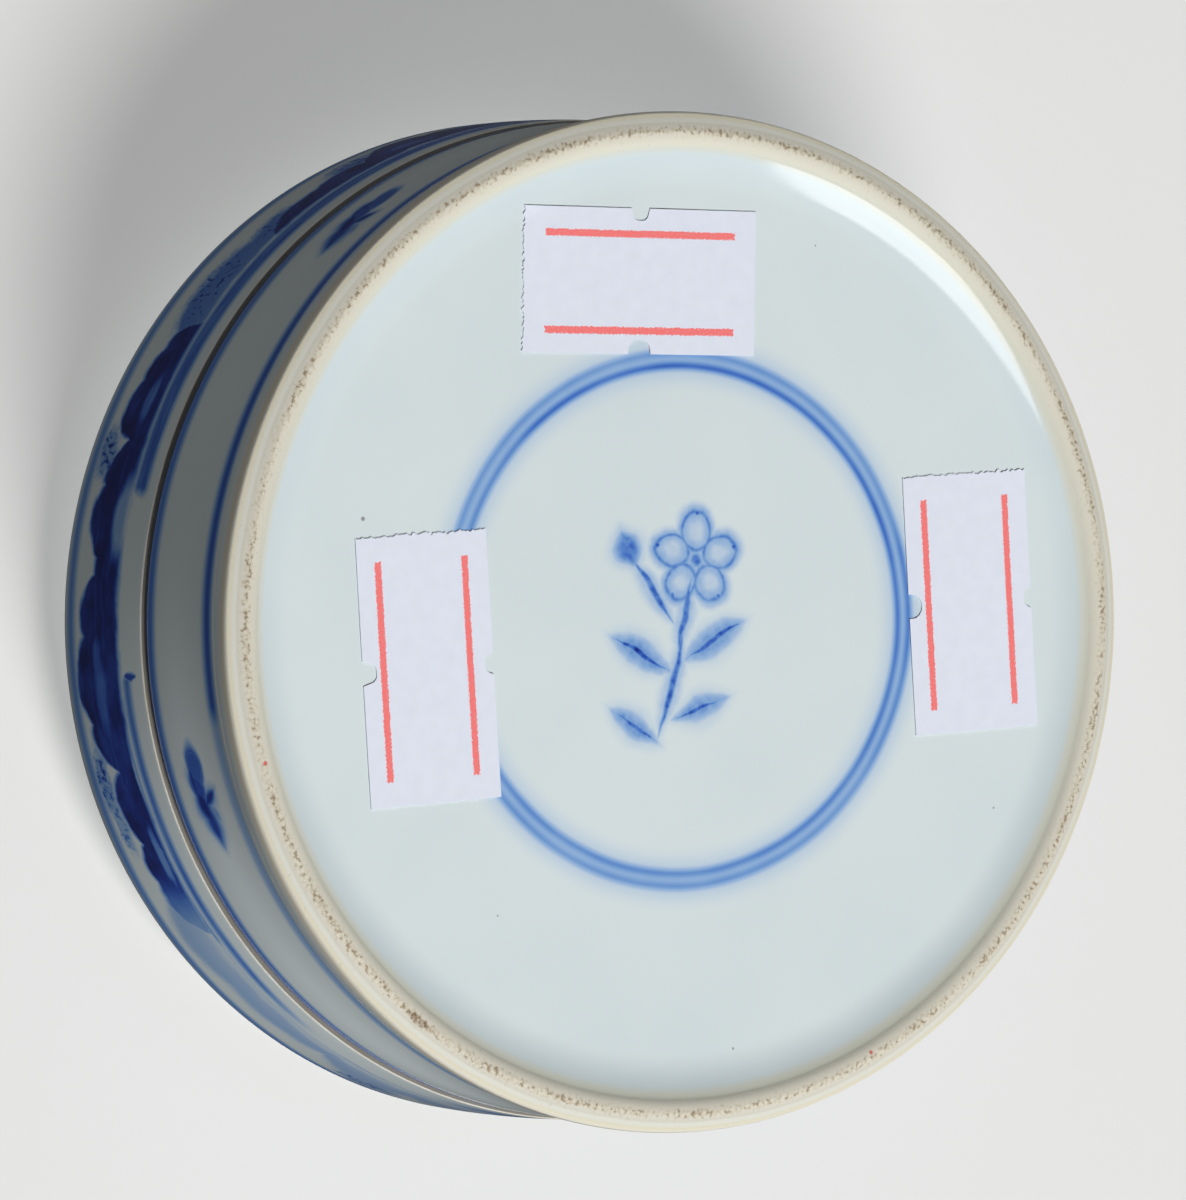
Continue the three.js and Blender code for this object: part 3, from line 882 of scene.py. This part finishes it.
def makeLabel(name, turn, notches, finish, pot):
    s = labels
    low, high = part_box(name)
    middle = (low + high) / 2
    label = newPiece("paper_" + name, bpy.ops.mesh.primitive_grid_add, size=1,
                     x_subdivisions=s["rows"][0], y_subdivisions=s["rows"][1])
    label.scale = (s["length"] * mm, s["width"] * mm, 1)
    label.location = (middle.x, middle.y, 0)
    bpy.ops.object.transform_apply(location=False, rotation=False, scale=True)
    # one short end was torn along a perforation, the other cut
    reach = s["length"] / 2 * mm * s["endShare"]
    for end, tear in ((-1, s["tornEnd"]), (1, s["cutEnd"])):
        group = label.vertex_groups.new(name="end" + str(end))
        group.add([v.index for v in label.data.vertices if v.co.x * end > reach], 1, "REPLACE")
        ruffle(label, "tear " + name + str(end), s["tearSize"], tear, "X", group.name)
    label.rotation_euler.z = math.radians(turn)
    bpy.ops.object.transform_apply(location=True, rotation=True, scale=True)
    # pressed on to the underside, up over its curved border where it reaches that
    modify(label, "pressed on", "SHRINKWRAP", target=pot, wrap_method="PROJECT", use_project_z=True,
           use_positive_direction=True)
    ruffle(label, "buckle " + name, s["buckleSize"], -s["buckle"], "Z")
    editAll()
    bpy.ops.transform.translate(value=(0, 0, -s["glue"] * mm))
    bpy.ops.object.mode_set(mode="OBJECT")
    modify(label, "sheet", "SOLIDIFY", thickness=s["thickness"] * mm, offset=-1)
    for side, notch in zip((-1, 1), notches):
        cutNotch(label, middle, turn, side, notch)
    label.data.materials.clear()
    label.data.materials.append(finish)
    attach(label, "lower_box")
    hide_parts(name)


pot = makeLowerBox()
print("lower box turned and dressed")
makeCover()
print("cover turned and dressed")
labelFinish = pricePaper()
for name, (turn, *notches) in labels["sheets"].items():
    makeLabel(name, turn, notches, labelFinish, pot)
print("labels pressed on")


# Studio: pale paper under whichever side the box lies on, soft lamps, and a softbox for the glaze to mirror
studio = {
    "paper": "E4E4E2", "reach": 2000, "cuts": 144, "gap": 0.06, "fadeFrom": 60, "fadeTo": 420, "glow": 0.4,
    "holeUnderCover": 3, "holeUnderFoot": 40,
    "ambient": 0.13, "walls": 0.45, "ceiling": 0.05, "ceilingFade": (0.3, 0.85),
    # a lamp with an aim, which is how it is turned, is for the glaze to mirror; the others light the colours
    "lamps": (
        {"name": "softbox on the foot", "towards": (-0.465, 0.181, -0.867), "distance": 560,
         "size": (268, 250), "watts": 1.16, "aim": (-0.058, -0.984, -0.166)},
        {"name": "key on the foot", "towards": (-0.60, 0.07, -0.80), "distance": 1600, "size": (700, 700),
         "watts": 28.5},
        {"name": "soft side", "towards": (0.35, 0.85, 0.40), "distance": 700, "size": (500, 500),
         "watts": 3.0},
        {"name": "soft above", "towards": (0.2, 0.3, 0.93), "distance": 700, "size": (500, 500),
         "watts": 2.6},
        {"name": "fill in front", "towards": (0.25, -0.93, 0.25), "distance": 800, "size": (600, 600),
         "watts": 0.4},
        {"name": "window", "towards": (0.60, 0.60, 0.52), "distance": 700, "size": (260, 180),
         "watts": 0.9, "aim": (0.7, -0.7, 0)},
    ),
    "roundAim": (0.3, 0.9, 0.3),
}


def studioPaper():
    # seen from its front only, so that each sheet stays out of the other one's views
    finish, s = newFinish("pale studio paper"), studio
    nodes = finish.node_tree.nodes
    lit = addNode("BsdfDiffuse", {"Color": s["paper"]})
    plain = addNode("Emission", {"Color": s["paper"], "Strength": 1})
    away = addNode("VectorMath", (addNode("TexCoord").outputs["Object"],), operation="LENGTH")
    far = soften(away, s["fadeFrom"] * mm, s["fadeTo"] * mm, s["glow"], 1)
    front = addNode("MixShader", (far, lit, plain))
    behind = addNode("NewGeometry").outputs["Backfacing"]
    side = addNode("MixShader", (behind, front, addNode("BsdfTransparent")))
    plug(nodes["Material Output"].inputs["Surface"], side)
    nodes.remove(nodes["Principled BSDF"])
    return finish


def makeSheet(name, height, hole, faceDown, body, finish):
    # round paper, open in the middle where the box covers it, so that the underside mirrors the softbox
    sheet = newPiece(name, bpy.ops.mesh.primitive_circle_add, vertices=studio["cuts"], radius=hole * mm)
    editAll()
    bpy.ops.mesh.extrude_edges_move()
    widen = studio["reach"] / hole
    bpy.ops.transform.resize(value=(widen, widen, 1), center_override=(0, 0, 0))
    bpy.ops.mesh.select_all(action="SELECT")
    bpy.ops.transform.translate(value=(0, 0, height))
    bpy.ops.object.mode_set(mode="OBJECT")
    if (sheet.data.polygons[0].normal.z < 0) != faceDown:
        sheet.data.flip_normals()
    sheet.data.materials.append(finish)
    for ray in ("visible_diffuse", "visible_transmission", "visible_shadow"):
        setattr(sheet, ray, False)
    sheet.visible_glossy = not faceDown
    sheet.parent = frame["bodies"][body]


def makeStudio():
    s = studio
    finish = studioPaper()
    top, bottom = cadBox[1][2] + s["gap"] * mm, cadBox[0][2] - s["gap"] * mm
    makeSheet("paperUnderCover", top, s["holeUnderCover"], True, "cover", finish)
    makeSheet("paperUnderFoot", bottom, s["holeUnderFoot"], False, "lower_box", finish)
    for lamp in s["lamps"]:
        light = bpy.data.lights.new(lamp["name"], "AREA")
        mirrored = "aim" in lamp
        light.shape, light.energy = "RECTANGLE" if mirrored else "ELLIPSE", lamp["watts"]
        light.size, light.size_y = (side * mm for side in lamp["size"])
        holder = bpy.data.objects.new(lamp["name"], light)
        bpy.context.scene.collection.objects.link(holder)
        towards = Vector(lamp["towards"]).normalized()
        across = Vector(lamp.get("aim", s["roundAim"]))
        across = (across - towards * across.dot(towards)).normalized()
        holder.matrix_world = Matrix((across, towards.cross(across), towards)).transposed().to_4x4()
        holder.location = towards * lamp["distance"] * mm
        holder.visible_glossy, holder.visible_diffuse = mirrored, not mirrored
    # the room: even light for matt surfaces, pale walls for the eye and the shine, a dimmer ceiling and floor
    world = bpy.data.worlds.new("studio")
    world.use_nodes = True
    bpy.context.scene.world = world
    bench["tree"] = world.node_tree
    path = addNode("LightPath").outputs
    up = addNode("SeparateXYZ", (addNode("TexCoord").outputs["Generated"],)).outputs["Z"]
    walls = soften(addNode("Math", (up,), operation="ABSOLUTE"), *s["ceilingFade"], s["walls"], s["ceiling"])
    shine = combine("MAXIMUM", walls, path["Is Camera Ray"])
    seen = combine("MAXIMUM", path["Is Camera Ray"], path["Is Glossy Ray"], path["Is Transmission Ray"])
    even = addNode("Background", {"Color": (1, 1, 1, 1), "Strength": s["ambient"]})
    pale = addNode("Background", {"Color": s["paper"], "Strength": shine})
    plug(world.node_tree.nodes["World Output"].inputs["Surface"], addNode("MixShader", (seen, even, pale)))


# Camera: where the photograph was taken from, worked out from the circles of the foot and the rings
photo = {"tilt": 28.67, "roll": 1.15, "distance": 500, "right": 7.115, "down": 1.83,
         "lens": 182.475, "sensor": 36, "clip": (0.01, 20)}


def makeCamera():
    tilt, roll = math.radians(photo["tilt"]), math.radians(photo["roll"])
    right = Vector((math.sin(roll), math.cos(roll) * math.cos(tilt), -math.cos(roll) * math.sin(tilt)))
    back = Vector((0, -math.sin(tilt), -math.cos(tilt)))
    up = back.cross(right)
    base = Vector((0, 0, lowerBox["recess"]))
    place = (base - right * photo["right"] + up * photo["down"] + back * photo["distance"]) * mm
    lens = bpy.data.cameras.new("photo camera")
    lens.lens, lens.sensor_width = photo["lens"], photo["sensor"]
    lens.clip_start, lens.clip_end = photo["clip"]
    camera = bpy.data.objects.new("photo camera", lens)
    bpy.context.scene.collection.objects.link(camera)
    camera.matrix_world = Matrix((right, up, back)).transposed().to_4x4()
    camera.location = place
    bpy.context.scene.camera = camera


makeStudio()
makeCamera()
bpy.context.scene.view_settings.view_transform = "Standard"
print("studio and camera set")
